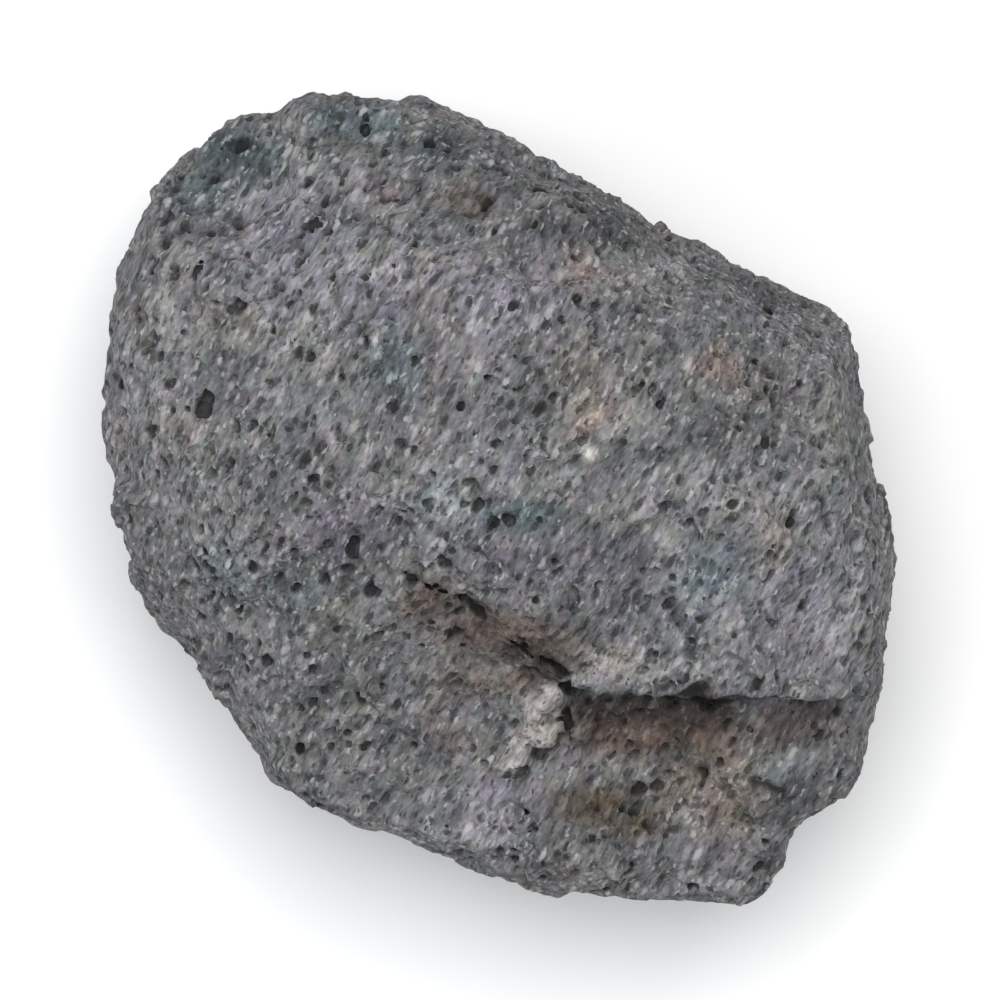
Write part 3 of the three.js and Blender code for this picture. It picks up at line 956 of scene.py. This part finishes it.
class StageSettings(bpy.types.PropertyGroup):
    """Sizes and colours of the floor, the lights and the camera."""

    floor_width: length_setting("Floor", "Width of the floor", 6.0)
    floor_colour: colour_setting("Floor colour", "Colour of the floor", (0.88, 0.88, 0.88))
    sky_colour: colour_setting("Sky colour", "Colour of the surroundings", (0.86, 0.88, 0.90))
    sky_strength: number_setting("Sky", "Strength of the surroundings", 0.66)
    key_power: number_setting("Key", "Power of the main light", 6.5, subtype="POWER")
    fill_power: number_setting("Fill", "Power of the second light", 3.0, subtype="POWER")
    view_width: length_setting("View width", "Width of the view at the stone's middle height", 132 * MM)
    camera_height: length_setting("Camera height", "Height of the camera over the floor", 2.0)


class LAVA_OT_stone(bpy.types.Operator):
    """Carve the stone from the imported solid"""

    bl_idname = "lava.stone"
    bl_label = "Lava stone"

    def execute(self, context):
        settings = context.scene.lava_stone
        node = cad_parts[STONE_NODE]
        material = lava_material(settings)
        mesh = stone_mesh(node, settings, material)
        mesh.name = STONE_PIECE
        mark_tints(mesh)
        bake_map(mesh)
        piece = bpy.data.objects.new(STONE_PIECE, mesh)
        context.scene.collection.objects.link(piece)
        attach(piece, BODY)
        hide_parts(STONE_NODE)
        return {"FINISHED"}


def hang_light(name, offset, width, colour, power, target):
    """Hangs a square light at an offset from the target, which it faces."""
    light = bpy.data.lights.new(name, "AREA")
    light.size = width
    light.energy = power
    light.color = colour
    lamp = bpy.data.objects.new(name, light)
    lamp.location = target + Vector(offset)
    lamp.rotation_euler = (target - lamp.location).to_track_quat("-Z", "Y").to_euler()
    bpy.context.scene.collection.objects.link(lamp)


class LAVA_OT_stage(bpy.types.Operator):
    """Lay the floor, hang the lights and set the camera over the stone"""

    bl_idname = "lava.stage"
    bl_label = "Stage"

    def execute(self, context):
        settings = context.scene.lava_stage
        half = settings.floor_width / 2
        corners = [(-half, -half, 0), (half, -half, 0), (half, half, 0), (-half, half, 0)]
        mesh = bpy.data.meshes.new("floor")
        mesh.from_pydata(corners, [], [(0, 1, 2, 3)])
        floor = bpy.data.objects.new("floor", mesh)
        context.scene.collection.objects.link(floor)
        paint = bpy.data.materials.new("floor_paint")
        paint.use_nodes = True
        shader = paint.node_tree.nodes["Principled BSDF"]
        shader.inputs["Base Color"].default_value = settings.floor_colour
        shader.inputs["Roughness"].default_value = 0.9
        mesh.materials.append(paint)

        world = bpy.data.worlds.new("studio")
        world.use_nodes = True
        backdrop = world.node_tree.nodes["Background"]
        backdrop.inputs["Color"].default_value = settings.sky_colour
        backdrop.inputs["Strength"].default_value = settings.sky_strength
        context.scene.world = world

        low, high = (Vector(corner) for corner in CAD_BOX)
        middle = (low + high) / 2
        hang_light(*KEY_LIGHT, settings.key_power, middle)
        hang_light(*FILL_LIGHT, settings.fill_power, middle)

        lens = bpy.data.cameras.new("camera")
        lens.sensor_width = 36.0
        lens.lens = lens.sensor_width * (settings.camera_height - middle.z) / settings.view_width
        lens.clip_start = 0.01
        camera = bpy.data.objects.new("camera", lens)
        camera.location = (middle.x, middle.y, settings.camera_height)
        context.scene.collection.objects.link(camera)
        context.scene.camera = camera
        context.scene.view_settings.view_transform = "Standard"
        return {"FINISHED"}


class LAVA_PT_panel(bpy.types.Panel):
    """The stone's sizes and colours, and the buttons that build it"""

    bl_idname = "LAVA_PT_panel"
    bl_label = "Lava stone"
    bl_space_type = "VIEW_3D"
    bl_region_type = "UI"
    bl_category = "Lava"

    def draw(self, context):
        scene = context.scene
        for operator, settings in ((LAVA_OT_stone, scene.lava_stone), (LAVA_OT_stage, scene.lava_stage)):
            box = self.layout.box()
            box.operator(operator.bl_idname)
            for name in settings.bl_rna.properties.keys():
                if name not in {"rna_type", "name"}:
                    box.prop(settings, name)


CLASSES = (StoneSettings, StageSettings, LAVA_OT_stone, LAVA_OT_stage, LAVA_PT_panel)


def register():
    """Makes the stone's settings, operators and panel known to Blender."""
    for cls in CLASSES:
        bpy.utils.register_class(cls)
    bpy.types.Scene.lava_stone = bpy.props.PointerProperty(type=StoneSettings)
    bpy.types.Scene.lava_stage = bpy.props.PointerProperty(type=StageSettings)


def unregister():
    """Takes them away again."""
    del bpy.types.Scene.lava_stage
    del bpy.types.Scene.lava_stone
    for cls in reversed(CLASSES):
        bpy.utils.unregister_class(cls)


def main():
    """Builds the stone and its stage."""
    register()
    bpy.ops.lava.stone()
    bpy.ops.lava.stage()
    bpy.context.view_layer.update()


if __name__ == "__main__":
    main()
